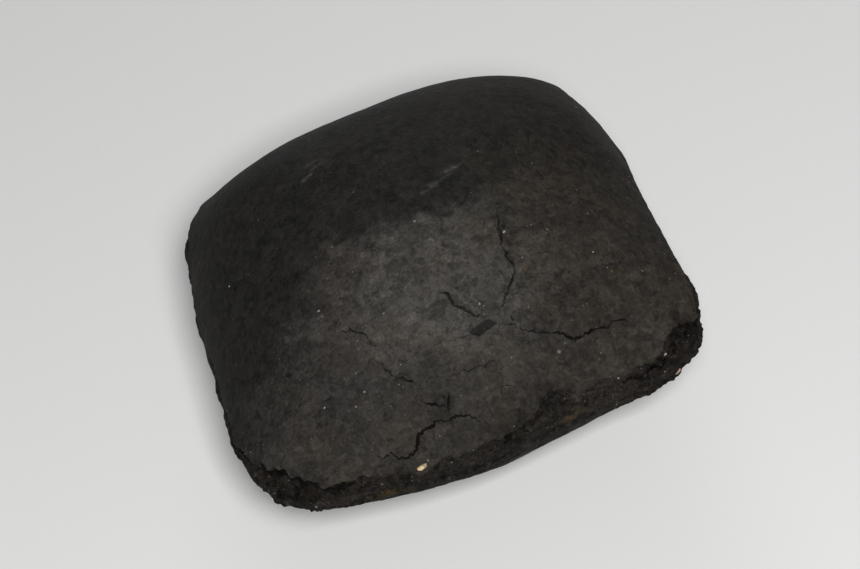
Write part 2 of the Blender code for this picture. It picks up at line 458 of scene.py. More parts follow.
def points_of(mesh):
    flat = np.empty(len(mesh.vertices) * 3, np.float32)
    mesh.vertices.foreach_get("co", flat)
    return flat.reshape(-1, 3).astype(float)


def normals_of(mesh):
    flat = np.empty(len(mesh.vertices) * 3, np.float32)
    mesh.vertex_normals.foreach_get("vector", flat)
    return flat.reshape(-1, 3).astype(float)


def move_points(mesh, points):
    mesh.vertices.foreach_set("co", points.astype(np.float32).ravel())
    mesh.update()


def push_out(mesh, heights):
    """Moves each point of the mesh along its normal by its own height."""
    points = points_of(mesh) + normals_of(mesh) * heights[:, None]
    move_points(mesh, points)
    return points


def keep_mask(mesh, name, values):
    """Stores one number a point on the mesh, for the material to read."""
    layer = mesh.attributes.new(name, "FLOAT", "POINT")
    layer.data.foreach_set("value", np.clip(values, 0, 1).astype(np.float32))


def cut_cube(form):
    """Starting cube: top and bottom in square cells, the sides in rows for the band of the seam."""
    cube = bmesh.new()
    bmesh.ops.create_cube(cube, size=2)
    level_edges = [edge for edge in cube.edges if edge.verts[0].co.z == edge.verts[1].co.z]
    bmesh.ops.subdivide_edges(cube, edges=level_edges, cuts=form.cells - 1, use_grid_fill=True)
    upright_edges = [edge for edge in cube.edges if edge.verts[0].co.z != edge.verts[1].co.z]
    bmesh.ops.subdivide_edges(cube, edges=upright_edges, cuts=form.seam_rows - 1)
    return cube


def tree_of(points):
    tree = kdtree.KDTree(len(points))
    for index, point in enumerate(points):
        tree.insert(point, index)
    tree.balance()
    return tree


def smooth_surface(cube, form):
    """The smooth pillow as a surface that plan places can be dropped on."""
    cube.verts.index_update()
    smooth = pillow_points(np.array([vertex.co for vertex in cube.verts]), form)
    faces = [[vertex.index for vertex in face.verts] for face in cube.faces]
    return BVHTree.FromPolygons([Vector(point) for point in smooth], faces)


def drop_on(surface, x, y):
    return surface.ray_cast(Vector((x, y, 1.0)), Vector((0, 0, -1)))[0]


def wander_at(here, size, reach):
    """A step sideways in plan that changes with the place. The library's vector noise isn't used,
    because it differs from run to run."""
    across = noise.noise(here / size)
    along = noise.noise(here / size + Vector((31.0, 17.0, 5.0)))
    return Vector((across, along)) * reach


def crack_samples(surface):
    """Points along every crack, close together, each with its half width and depth there."""
    places, widths, depths = [], [], []
    for half_width, depth, corners in CRACKS:
        corners = np.array(corners) * MM
        lengths = np.linalg.norm(np.diff(corners, axis=0), axis=1)
        stations = np.concatenate([[0], np.cumsum(lengths)])
        count = max(4, round(stations[-1] / CRACK_STEP))
        for share in np.linspace(0, 1, count):
            station = share * stations[-1]
            x = np.interp(station, stations, corners[:, 0])
            y = np.interp(station, stations, corners[:, 1])
            here = Vector((x, y, half_width))
            wander = sum((wander_at(here, size, reach) for size, reach in CRACK_WANDERS), Vector((0, 0)))
            place = drop_on(surface, x + wander.x, y + wander.y)
            if place is None:
                continue
            places.append(tuple(place))
            taper = math.sin(math.pi * (CRACK_TIP + CRACK_SPAN * share))
            unevenness = CRACK_UNEVENNESS * noise.noise(here / CRACK_UNEVEN_SIZE)
            strength = taper * max(CRACK_LEAST, 1.0 + unevenness)
            widths.append(half_width * MM * strength)
            depths.append(depth * MM * strength)
    return np.array(places), np.array(widths), np.array(depths)


def mark_places(surface):
    """Places on the dome along the scuffs and over the notch, where the mesh is to be finer too."""
    plan = []
    for start, end in SCUFFS:
        start, end = np.array(start) * MM, np.array(end) * MM
        plan += [start * (1 - share) + end * share for share in np.linspace(0, 1, MARKS_ALONG_SCUFF)]
    long_way = np.array((math.cos(NOTCH_TURN), math.sin(NOTCH_TURN))) * (NOTCH_HALF_LENGTH + NOTCH_HALF_WIDTH)
    short_way = np.array((-math.sin(NOTCH_TURN), math.cos(NOTCH_TURN))) * NOTCH_HALF_WIDTH
    for side in (-1, 0, 1):
        plan += [
            np.array(NOTCH_PLACE) + long_way * share + short_way * side
            for share in np.linspace(-1, 1, MARKS_ALONG_NOTCH)
        ]
    return [tuple(drop_on(surface, x, y)) for x, y in plan]


def refine_near(cube, form, places):
    """Cuts the cells close to a crack, a scuff or the notch into much smaller ones."""
    tree = tree_of(places)
    cube.verts.ensure_lookup_table()
    points = pillow_points(np.array([vertex.co for vertex in cube.verts]), form)
    close = [tree.find(point)[2] < FINE_REACH for point in points]
    cube.verts.index_update()
    fine_edges = {
        edge
        for face in cube.faces if all(close[vertex.index] for vertex in face.verts)
        for edge in face.edges
    }
    bmesh.ops.subdivide_edges(cube, edges=list(fine_edges), cuts=FINE_CUTS, use_grid_fill=True)


def coarse_relief(points, form, cut, step):
    """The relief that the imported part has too: lumps all over, crumbs and a recess at the seam."""
    lumps = noise_sum(points, ((cut.broad_height, cut.broad_lump), (cut.small_height, cut.small_lump)))
    plan_distance = np.hypot(points[:, 0] - form.belly_lean[0], points[:, 1] - form.belly_lean[1])
    calm = np.where(points[:, 2] < 0, np.minimum(1, (plan_distance / cut.calm_radius) ** 2), 1)
    seam_nearness = np.exp(-(points[:, 2] / cut.crumb_band) ** 2)
    crumbs = cut.crumb_height * perlin(points, cut.crumb_size) * seam_nearness
    return lumps * calm + crumbs - cut.band_recess * step


def break_corners(points):
    """Presses what stands out past each chip's plane back to it, and says how broken each point is."""
    broken = np.zeros(len(points))
    for turn, rise, depth in CHIPS:
        outward = np.array((math.cos(turn) * math.cos(rise), math.sin(turn) * math.cos(rise), math.sin(rise)))
        excess = np.maximum(0, points @ outward - (points @ outward).max() + depth)
        points = points - outward * excess[:, None] * CHIP_FLATNESS
        broken = np.maximum(broken, ease(excess / (0.3 * depth)))
    return points, broken


def band_edge(smooth, cut):
    """How far inside the ragged edge of the seam's broken band each point is, in metres."""
    edge = cut.band_height + cut.band_sway * perlin(smooth, cut.band_sway_size)
    edge += cut.band_raggedness * perlin(smooth, cut.band_ragged_size)
    for (x, y), reach, height in BAND_BULGES:
        away = np.hypot(smooth[:, 0] - x * MM, smooth[:, 1] - y * MM) / (reach * MM)
        edge += np.where(smooth[:, 2] > 0, height * MM * np.exp(-away ** 2), 0)
    return edge - np.abs(smooth[:, 2])


def crack_relief(smooth, samples):
    """Depth of the nearest crack at each point, and how dark it is painted: partly the crack's own darker
    floor, partly painted shade in it and in a soft halo beside it.
    """
    places, widths, depths = samples
    tree = tree_of(places)
    found = [tree.find(point) for point in smooth]
    nearest = np.array([item[1] for item in found])
    distance = np.array([item[2] for item in found])
    closeness = np.clip(1 - distance / widths[nearest], 0, 1)
    # Painted shade: a soft dark halo beside each crack
    halo = 1.6 * widths[nearest] / MM * np.exp(-(distance / CRACK_HALO) ** 2)
    dark = np.maximum(np.minimum(1, 1.8 * closeness), halo * (0.8 + 0.8 * perlin(smooth, FINE_PATCH)))
    return depths[nearest] * np.minimum(1, 1.6 * closeness), dark


def notch_mask(smooth):
    """1 on the floor of the notch, falling to 0 at its edge."""
    across = smooth[:, 0] - NOTCH_PLACE[0]
    along = smooth[:, 1] - NOTCH_PLACE[1]
    length = across * math.cos(NOTCH_TURN) + along * math.sin(NOTCH_TURN)
    width = along * math.cos(NOTCH_TURN) - across * math.sin(NOTCH_TURN)
    edge = np.maximum(np.abs(length + 0.5 * width) / NOTCH_HALF_LENGTH, np.abs(width) / NOTCH_HALF_WIDTH)
    ragged = edge + 0.14 * perlin(smooth, NOTCH_RAGGED_SIZE)
    return np.where(smooth[:, 2] > 0, ease((1.0 - ragged) / 0.12), 0)


def crumble_share(smooth):
    """How crumbly the seam's band is at each point: given along the front, by chance elsewhere."""
    along = np.interp(smooth[:, 0] / MM, *np.array(CRUMBLE_ALONG).T)
    chance = ease(0.5 + 1.3 * perlin(smooth, CRUMBLE_PATCH))
    front = ease((FRONT_START - smooth[:, 1]) / FRONT_WIDTH + 0.5)
    return along * front + chance * (1 - front)


def dust_masks(smooth):
    """1 where the skin is dusty and a little rough, 0 where it is smooth; and how pale the dust is."""
    line = np.interp(smooth[:, 0] / MM, *np.array(DUST_LINE).T) * MM
    softness = np.interp(smooth[:, 0] / MM, *np.array(DUST_SOFTNESS).T) * MM
    upper = ease((line - smooth[:, 1] + noise_sum(smooth, DUST_WOBBLE)) / softness + 0.5)
    lower = ease(noise_sum(smooth, LOWER_DUST) + 0.55)
    above = ease(smooth[:, 2] / DUST_CHANGE + 0.5)
    dusty = upper * above + lower * (1 - above)
    (x, y), (across, along) = PALE_PATCH
    away = np.hypot((smooth[:, 0] / MM - x) / across, (smooth[:, 1] / MM - y) / along)
    patch = ease(1.6 - 1.1 * away + 0.45 * perlin(smooth, 3.2 * MM) + 0.2 * perlin(smooth, SMALL_PATCH))
    return dusty, dusty * (0.37 + 0.63 * (patch * above))


def warm_mask(smooth):
    """1 where the charcoal is brownish, 0 where it is a cooler grey."""
    upper = ease((smooth[:, 0] - WARM_START) / WARM_WIDTH + 0.5 + 0.7 * perlin(smooth, 5 * MM))
    front = ease((WARM_FRONT_START - smooth[:, 1]) / WARM_FRONT_WIDTH + 0.5)
    front *= 0.55 + 0.6 * perlin(smooth, 4 * MM)
    return np.clip(np.maximum(upper, front), 0, 1)


def hollows_in(smooth):
    """Depth of the small hollows at each point, and how dark they are painted: painted shade in the hollows,
    and the smudges, partly painted shade and partly darker charcoal.
    """
    depth, dark = np.zeros(len(smooth)), np.zeros(len(smooth))
    ragged = 1 + 0.7 * perlin(smooth, FINE_PATCH)
    for (x, y), radius, deep in HOLLOWS:
        away = np.hypot(smooth[:, 0] - x * MM, smooth[:, 1] - y * MM) / (radius * MM)
        inside = ease(1.3 - away * ragged)
        depth = np.maximum(depth, deep * MM * inside)
        # Painted shade in the hollows
        dark = np.maximum(dark, HOLLOW_PAINTED_SHADE * inside)
    # Smudges: partly painted shade, partly darker charcoal
    for (x, y), radius, strength in SMUDGES_AND_SHADE:
        away = np.hypot(smooth[:, 0] - x * MM, smooth[:, 1] - y * MM) / (radius * MM)
        dark = np.maximum(dark, strength * ease(1.4 - away + 0.6 * perlin(smooth, SMALL_PATCH)))
    above = smooth[:, 2] > 0
    return depth * above, dark * above


def broken_look(smooth, inside, crumble):
    """How broken the band looks: sharp-edged where it is crumbly, faint and soft where it is worn."""
    # Under the seam the broken look reaches further down: partly the broken band, partly painted shade on the
    # belly under it
    inside = inside + np.where(smooth[:, 2] < 0, BROKEN_LOOK_AND_SHADE_DROP, 0)
    sharp, worn = BROKEN_EDGE
    softness = (sharp + worn * (1 - crumble)) * MM
    return ease(inside / softness + 0.5) * (0.45 + 0.55 * crumble)


def scuff_mask(smooth):
    """Faint strokes where the crown was rubbed."""
    mask = np.zeros(len(smooth))
    for start, end in SCUFFS:
        start, end = np.array(start) * MM, np.array(end) * MM
        length = np.linalg.norm(end - start)
        direction = (end - start) / length
        away = smooth[:, :2] - start
        share = away @ direction / length
        side = (away @ np.array((-direction[1], direction[0]))) / SCUFF_HALF_WIDTH
        ends = ease(3 * share) * ease(3 * (1 - share))
        mask = np.maximum(mask, ends * np.exp(-side ** 2) * (0.8 + 0.5 * perlin(smooth, FINE_PATCH)))
    return np.where(smooth[:, 2] > 0, mask, 0)


def stain_mask(smooth):
    mask = np.zeros(len(smooth))
    for place, reach in STAINS:
        away = (smooth - np.array(place) * MM) / (np.array(STAIN_SHAPE) * reach * MM)
        mask = np.maximum(mask, np.exp(-(away ** 2).sum(axis=1)))
    return ease(mask * (1 + 0.8 * perlin(smooth, 0.8 * MM)))


def fine_relief(smooth, cut, step, inside, crumble, broken, dusty):
    """Ledge and crumbs of the broken band, the grain of the skin, and the painted shade in the gaps between
    the grains and in the groove under the skin's edge.
    """
    groove = np.exp(-((inside - GROOVE_INSET) / GROOVE_HALF_WIDTH) ** 2)
    groove *= np.clip(1.8 * perlin(smooth, GROOVE_PATCH) + 0.7 * crumble, 0, 1) * crumble
    grains = packed_grains(smooth, cut.grain_size) - 0.5 + 0.6 * (packed_grains(smooth, FINE_GRAIN) - 0.5)
    grains += 0.9 * perlin(smooth, CLOD)
    sharper = cut.band_recess * (ease(inside / LEDGE_WIDTH + 0.5) - step) * crumble
    uneven = cut.smooth_height + (cut.dust_height - cut.smooth_height) * dusty
    skin = noise_sum(smooth, SKIN_ROUGHNESS) * uneven
    crumbs = cut.grain_height * grains * (0.25 + 0.75 * crumble)
    height = skin * (1 - broken) + crumbs * broken - sharper - cut.groove_depth * groove
    # Painted shade in the low gaps between the band's grains
    gap_shade = ease((-0.1 - grains) / 0.6) * broken * crumble
    return height, np.maximum(gap_shade, groove)


def pit_mask(smooth, cut, dusty):
    """Small round pits, mostly in the dusty skin."""
    depth = np.clip(perlin(smooth, cut.pit_size) - 0.46, 0, 1) / 0.3
    return np.clip(depth, 0, 1) * (0.25 + 0.75 * dusty)


def new_group(name, inputs, outputs):
    """A shader node group with plain number, colour or vector sockets."""
    group = bpy.data.node_groups.new(name, "ShaderNodeTree")
    kinds = {"number": "NodeSocketFloat", "colour": "NodeSocketColor", "vector": "NodeSocketVector"}
    for title, kind, value in inputs:
        socket = group.interface.new_socket(title, in_out="INPUT", socket_type=kinds[kind])
        if value is not None:
            socket.default_value = value
    for title, kind in outputs:
        group.interface.new_socket(title, in_out="OUTPUT", socket_type=kinds[kind])
    return group, group.nodes.new("NodeGroupInput"), group.nodes.new("NodeGroupOutput")


def math_node(tree, operation, first, second, clamp=False):
    """A Math node whose two values are numbers or the sockets that feed them."""
    node = tree.nodes.new("ShaderNodeMath")
    node.operation = operation
    node.use_clamp = clamp
    for slot, value in enumerate((first, second)):
        if isinstance(value, (int, float)):
            node.inputs[slot].default_value = value
        else:
            tree.links.new(value, node.inputs[slot])
    return node.outputs[0]


def swing_of(tree, value, strength):
    """A noise value that swings round 0.5, turned into one that swings round 0 by the given strength."""
    return math_node(tree, "MULTIPLY", math_node(tree, "SUBTRACT", value, 0.5), strength)


def ramp_node(tree, value, low, high, to_low=0.0, to_high=1.0):
    """Carries a value from one range to another, smoothly and without going past its ends."""
    node = tree.nodes.new("ShaderNodeMapRange")
    node.interpolation_type = "SMOOTHSTEP"
    tree.links.new(value, node.inputs["Value"])
    for title, number in (("From Min", low), ("From Max", high), ("To Min", to_low), ("To Max", to_high)):
        node.inputs[title].default_value = number
    return node.outputs["Result"]


def mix_colours(tree, share, first, second, blend="MIX"):
    """Mixes two colours, each a socket or three numbers, by a share that is a number or a socket."""
    node = tree.nodes.new("ShaderNodeMix")
    node.data_type = "RGBA"
    node.blend_type = blend
    factor, colour_a, colour_b = node.inputs[0], node.inputs[6], node.inputs[7]
    for socket, value in ((factor, share), (colour_a, first), (colour_b, second)):
        if isinstance(value, (int, float)):
            socket.default_value = value
        elif isinstance(value, bpy.types.NodeSocket):
            tree.links.new(value, socket)
        else:
            socket.default_value = (*value, 1.0)
    return node.outputs[2]


def noise_node(tree, vector, scale, detail=2.0, roughness=0.5):
    node = tree.nodes.new("ShaderNodeTexNoise")
    for title, value in (("Scale", scale), ("Detail", detail), ("Roughness", roughness)):
        node.inputs[title].default_value = value
    tree.links.new(vector, node.inputs["Vector"])
    return node.outputs["Fac"]


def cell_node(tree, vector, scale):
    """Voronoi cells: the distance from each cell's middle, and three chance numbers of the cell."""
    node = tree.nodes.new("ShaderNodeTexVoronoi")
    node.inputs["Scale"].default_value = scale
    tree.links.new(vector, node.inputs["Vector"])
    split = tree.nodes.new("ShaderNodeSeparateColor")
    tree.links.new(node.outputs["Color"], split.inputs["Color"])
    return node.outputs["Distance"], split.outputs


def bent_place(tree, place, scale, reach):
    """The place, bent a little by noise, so that cells get ragged outlines."""
    node = tree.nodes.new("ShaderNodeTexNoise")
    node.inputs["Scale"].default_value = scale
    tree.links.new(place, node.inputs["Vector"])
    shift = tree.nodes.new("ShaderNodeVectorMath")
    shift.operation = "MULTIPLY_ADD"
    tree.links.new(node.outputs["Color"], shift.inputs[0])
    shift.inputs[1].default_value = (reach, reach, reach)
    tree.links.new(place, shift.inputs[2])
    return shift.outputs[0]


def charcoal_grain_group():
    """Fine grain of pressed charcoal dust: a tone that varies round 1 and a height for bump."""
    group, given, result = new_group(
        "charcoal_grain",
        (("Place", "vector", None), ("Contrast", "number", 1.0)),
        (("Tone", "number"), ("Height", "number")))
    place = given.outputs["Place"]
    broad = noise_node(group, place, 70, detail=2.0)
    mottle = noise_node(group, place, 300, detail=6.0, roughness=0.80)
    dust = noise_node(group, place, 2600, detail=2.0, roughness=0.6)
    distance, chances = cell_node(group, bent_place(group, place, 900, 0.0009), 1250)
    flakes = chances[0]
    swing = swing_of(group, broad, 0.5)
    for value, strength in ((mottle, 1.35), (dust, 1.3), (flakes, 0.55)):
        swing = math_node(group, "ADD", swing, swing_of(group, value, strength))
    tone = math_node(group, "ADD", math_node(group, "MULTIPLY", swing, given.outputs["Contrast"]), 1.0)
    group.links.new(math_node(group, "MAXIMUM", tone, 0.15), result.inputs["Tone"])
    height = math_node(group, "MULTIPLY", dust, 0.7)
    height = math_node(group, "ADD", height, math_node(group, "MULTIPLY", mottle, 0.9))
    height = math_node(group, "SUBTRACT", height, math_node(group, "MULTIPLY", distance, 0.35))
    group.links.new(height, result.inputs["Height"])
    return group


def bright_specks_group():
    """Tiny specks set in the charcoal, each of its own size: a mask for bright ones, pale grains painted
    brighter as painted glints, and one for rusty ones.
    """
    group, given, result = new_group(
        "bright_specks",
        (("Place", "vector", None), ("Scale", "number", 900.0), ("Share", "number", 0.3)),
        (("Bright", "number"), ("Rusty", "number")))
    distance, chances = cell_node(group, bent_place(group, given.outputs["Place"], 3200, 0.00022), 900)
    group.links.new(given.outputs["Scale"], distance.node.inputs["Scale"])
    chosen = math_node(group, "LESS_THAN", chances[0], given.outputs["Share"])
    size = math_node(group, "MULTIPLY", math_node(group, "POWER", chances[1], 3.0), 0.14)
    size = math_node(group, "ADD", size, 0.07)
    spot = math_node(group, "MULTIPLY", math_node(group, "SUBTRACT", size, distance), 14.0, clamp=True)
    spot = math_node(group, "MULTIPLY", spot, chosen)
    strength = math_node(group, "POWER", chances[2], 3.0)
    strength = math_node(group, "ADD", math_node(group, "MULTIPLY", strength, 0.8), 0.2)
    rusty = math_node(group, "LESS_THAN", chances[2], 0.10)
    plain = math_node(group, "SUBTRACT", 1.0, rusty)
    bright = math_node(group, "MULTIPLY", spot, math_node(group, "MULTIPLY", strength, plain))
    group.links.new(bright, result.inputs["Bright"])
    group.links.new(math_node(group, "MULTIPLY", spot, rusty), result.inputs["Rusty"])
    return group


def use_group(tree, group, values):
    """Places a node group and feeds each named input with a number or a socket."""
    node = tree.nodes.new("ShaderNodeGroup")
    node.node_tree = group
    for title, value in values.items():
        if isinstance(value, (int, float)):
            node.inputs[title].default_value = value
        else:
            tree.links.new(value, node.inputs[title])
    return node


def mask_of(tree, name):
    node = tree.nodes.new("ShaderNodeAttribute")
    node.attribute_name = name
    return node.outputs["Fac"]


def grey_of(tree, value):
    """A grey colour as bright as the value."""
    node = tree.nodes.new("ShaderNodeCombineColor")
    for slot in range(3):
        tree.links.new(value, node.inputs[slot])
    return node.outputs[0]


def bump_from(tree, shader, height, distance):
    bump = tree.nodes.new("ShaderNodeBump")
    bump.inputs["Distance"].default_value = distance
    tree.links.new(height, bump.inputs["Height"])
    tree.links.new(bump.outputs["Normal"], shader.inputs["Normal"])


def new_material(name):
    """A material, its node tree, its shader and the place on the surface."""
    material = bpy.data.materials.new(name)
    material.use_nodes = True
    tree = material.node_tree
    place = tree.nodes.new("ShaderNodeTexCoord").outputs["Object"]
    return material, tree, tree.nodes["Principled BSDF"], place


def scaled_sum(tree, base, *pairs):
    """A number or a socket, plus each further socket times its own factor."""
    total = base
    for value, factor in pairs:
        total = math_node(tree, "ADD", math_node(tree, "MULTIPLY", value, factor), total)
    return total


def charcoal_material(finish, grain_group):
    """Pressed charcoal: smooth and dusty skin, darker broken places and cracks, tiny bright specks."""
    material, tree, shader, place = new_material("pressed_charcoal")
    broken, crack_and_hollow_shade, dusty = mask_of(tree, "broken"), mask_of(tree, "crack_and_hollow_shade"), mask_of(tree, "dusty")
    contrast = scaled_sum(tree, 1.1, (dusty, -0.2), (broken, 0.6))
    grain = use_group(tree, grain_group, {"Place": place, "Contrast": contrast})
    patches = ramp_node(tree, noise_node(tree, place, 230, detail=8.0, roughness=0.7), 0.38, 0.62, 0.62, 1.0)
    share = math_node(tree, "MULTIPLY", mask_of(tree, "pale"), patches)
    colour = mix_colours(tree, share, finish.smooth_colour, finish.dusty_colour)
    colour = mix_colours(tree, mask_of(tree, "warm"), colour, finish.warm_tint, blend="MULTIPLY")
    brown = ramp_node(tree, noise_node(tree, place, 140, detail=3.0, roughness=0.6), 0.46, 0.62, 0.0, 0.85)
    colour = mix_colours(tree, brown, colour, finish.brown_tint, blend="MULTIPLY")
    colour = mix_colours(tree, mask_of(tree, "scuff"), colour, finish.scuff_colour)
    colour = mix_colours(tree, mask_of(tree, "notch"), colour, finish.notch_colour)
    # Broken colour, which under the seam is also painted shade on the belly
    colour = mix_colours(tree, broken, colour, finish.broken_colour)
    colour = mix_colours(tree, mask_of(tree, "stain"), colour, finish.stain_colour)
    ledge = ramp_node(tree, noise_node(tree, place, 330, detail=6.0, roughness=0.6), 0.515, 0.535)
    ledge = math_node(tree, "MULTIPLY", ledge, dusty)
    fleck_noise = noise_node(tree, place, 1250, detail=3.0, roughness=0.7)
    pale_share = scaled_sum(tree, 0.35, (broken, 1.15))
    dark_share = scaled_sum(tree, 0.26, (broken, 0.42))
    pale_flecks = math_node(tree, "MULTIPLY", ramp_node(tree, fleck_noise, 0.56, 0.68), pale_share)
    dark_flecks = math_node(tree, "MULTIPLY", ramp_node(tree, fleck_noise, 0.32, 0.44, 1.0, 0.0), dark_share)
    flecks = scaled_sum(tree, 1.0, (pale_flecks, 1.0), (dark_flecks, -1.0))
    # Pores: small dents in the bump, with painted shade darkening them
    distance, chances = cell_node(tree, bent_place(tree, place, 1500, 0.0005), 800)
    pore_size = math_node(tree, "SUBTRACT", math_node(tree, "MULTIPLY", chances[1], 0.34), 0.12)
    pore = math_node(tree, "MULTIPLY", math_node(tree, "SUBTRACT", pore_size, distance), 9.0, clamp=True)
    pore = math_node(tree, "MULTIPLY", pore, scaled_sum(tree, 0.1, (dusty, 0.7), (broken, 0.6)))
    shade = math_node(tree, "SUBTRACT", 1.0, math_node(tree, "MULTIPLY", pore, 0.45))
    # Painted shade: darkens the tone where the cracks, hollows, pits and gaps lie
    tone = math_node(tree, "MULTIPLY", grain.outputs["Tone"], ramp_node(tree, crack_and_hollow_shade, 0.0, 1.0, 1.0, 0.22))
    for factor in (shade, flecks, scaled_sum(tree, 0.97, (ledge, 0.09))):
        tone = math_node(tree, "MULTIPLY", tone, factor)
    colour = mix_colours(tree, 1.0, colour, grey_of(tree, tone), blend="MULTIPLY")
    # Bright specks: pale grains painted bright as painted glints, and a few rusty specks
    speck_group = bright_specks_group()
    glow = None
    for scale, base, on_dusty, on_broken in ((1800.0, 0.16, 0.26, 0.45), (1000.0, 0.12, 0.18, 0.35)):
        speck_share = scaled_sum(tree, base, (dusty, on_dusty), (broken, on_broken))
        specks = use_group(tree, speck_group, {"Place": place, "Scale": scale, "Share": speck_share})
        colour = mix_colours(tree, specks.outputs["Bright"], colour, finish.glint_colour)
        colour = mix_colours(tree, specks.outputs["Rusty"], colour, finish.rust_colour)
        bright = specks.outputs["Bright"]
        glow = bright if glow is None else math_node(tree, "MAXIMUM", glow, bright)
    tree.links.new(colour, shader.inputs["Base Color"])
    extra = finish.dusty_roughness - finish.smooth_roughness
    rough = scaled_sum(tree, finish.smooth_roughness, (dusty, extra), (broken, 0.2), (glow, -0.4))
    tree.links.new(math_node(tree, "MINIMUM", rough, 1.0), shader.inputs["Roughness"])
    height = scaled_sum(tree, 0.0, (grain.outputs["Height"], 1.0), (ledge, 0.35), (pore, -0.6))
    bump_from(tree, shader, math_node(tree, "MULTIPLY", height, contrast), 0.00018)
    shader.inputs["Specular IOR Level"].default_value = 0.08
    return material


def mineral_material(name, colour, grain_group):
    """A small hard grain: pale and faintly cloudy, with charcoal dust on it."""
    material, tree, shader, place = new_material(name)
    grain = use_group(tree, grain_group, {"Place": place, "Contrast": 0.5})
    tinted = mix_colours(tree, 1.0, colour, grey_of(tree, grain.outputs["Tone"]), blend="MULTIPLY")
    dust = ramp_node(tree, noise_node(tree, place, 1900, detail=2.0), 0.50, 0.68, 0.0, 0.7)
    tinted = mix_colours(tree, dust, tinted, (0.06, 0.055, 0.05))
    tree.links.new(tinted, shader.inputs["Base Color"])
    tree.links.new(scaled_sum(tree, 0.35, (dust, 0.5)), shader.inputs["Roughness"])
    return material


def plain_material(name, colour, roughness):
    material = bpy.data.materials.new(name)
    material.use_nodes = True
    shader = material.node_tree.nodes["Principled BSDF"]
    shader.inputs["Base Color"].default_value = (*colour, 1.0)
    shader.inputs["Roughness"].default_value = roughness
    return material


def show(name, mesh):
    piece = bpy.data.objects.new(name, mesh)
    bpy.context.scene.collection.objects.link(piece)
    return piece


def grain_group_once():
    """The shared grain group, built the first time that a material asks for it."""
    return bpy.data.node_groups.get("charcoal_grain") or charcoal_grain_group()


class BRIQUETTE_OT_skin(Operator):
    """Builds the briquette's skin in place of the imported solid"""
    bl_idname = "briquette.skin"
    bl_label = "Briquette Skin"

    def execute(self, context):
        form = context.scene.briquette_form
        cut = context.scene.briquette_relief
        cube = cut_cube(form)
        surface = smooth_surface(cube, form)
        samples = crack_samples(surface)
        refine_near(cube, form, [*samples[0], *mark_places(surface)])
        mesh = bpy.data.meshes.new("briquette_skin")
        cube.to_mesh(mesh)
        cube.free()
        smooth = pillow_points(points_of(mesh), form)
        move_points(mesh, smooth)
        inside = band_edge(smooth, cut)
        step = ease(inside / cut.band_step + 0.5)
        points, chipped = break_corners(push_out(mesh, coarse_relief(smooth, form, cut, step)))
        move_points(mesh, points)
        inside += noise_sum(smooth, EDGE_RAGGEDNESS)
        crumble = crumble_share(smooth)
        broken = np.maximum(broken_look(smooth, inside, crumble), chipped)
        dusty, pale = dust_masks(smooth)
        fine, gap_shade = fine_relief(smooth, cut, step, inside, crumble, broken, dusty)
        crack_depth, crack_dark = crack_relief(smooth, samples)
        hollow_depth, hollow_dark = hollows_in(smooth)
        pits, notch = pit_mask(smooth, cut, dusty), notch_mask(smooth)
        cuts = np.maximum.reduce([crack_depth, hollow_depth, NOTCH_DEPTH * notch, 0.3 * cut.pit_depth * pits])
        push_out(mesh, fine - cuts)
        points = points_of(mesh) + SEAM_MIDDLE
        points[:, 2] = np.maximum(points[:, 2], CAD_LOW.z)
        move_points(mesh, points)
        keep_mask(mesh, "broken", broken)
        # Painted shade: cracks, hollows, pits and the gaps of the broken band are darkened as if in shade;
        # the cracks' floors and the smudges are partly darker charcoal too
        keep_mask(mesh, "crack_and_hollow_shade", np.maximum.reduce([crack_dark, hollow_dark, 0.6 * pits, gap_shade]))
        keep_mask(mesh, "notch", notch)
        keep_mask(mesh, "dusty", dusty)
        keep_mask(mesh, "pale", pale)
        keep_mask(mesh, "warm", warm_mask(smooth))
        keep_mask(mesh, "scuff", scuff_mask(smooth) * (1 - dusty))
        keep_mask(mesh, "stain", stain_mask(smooth))
        self.triangulate(mesh)
        mesh.shade_smooth()
        mesh.materials.append(charcoal_material(context.scene.charcoal_finish, grain_group_once()))
        piece = show("briquette_skin", mesh)
        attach(piece, "root")
        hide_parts(NODE)
        return {"FINISHED"}

    def triangulate(self, mesh):
        solid = bmesh.new()
        solid.from_mesh(mesh)
        bmesh.ops.triangulate(solid, faces=solid.faces)
        solid.to_mesh(mesh)
        solid.free()


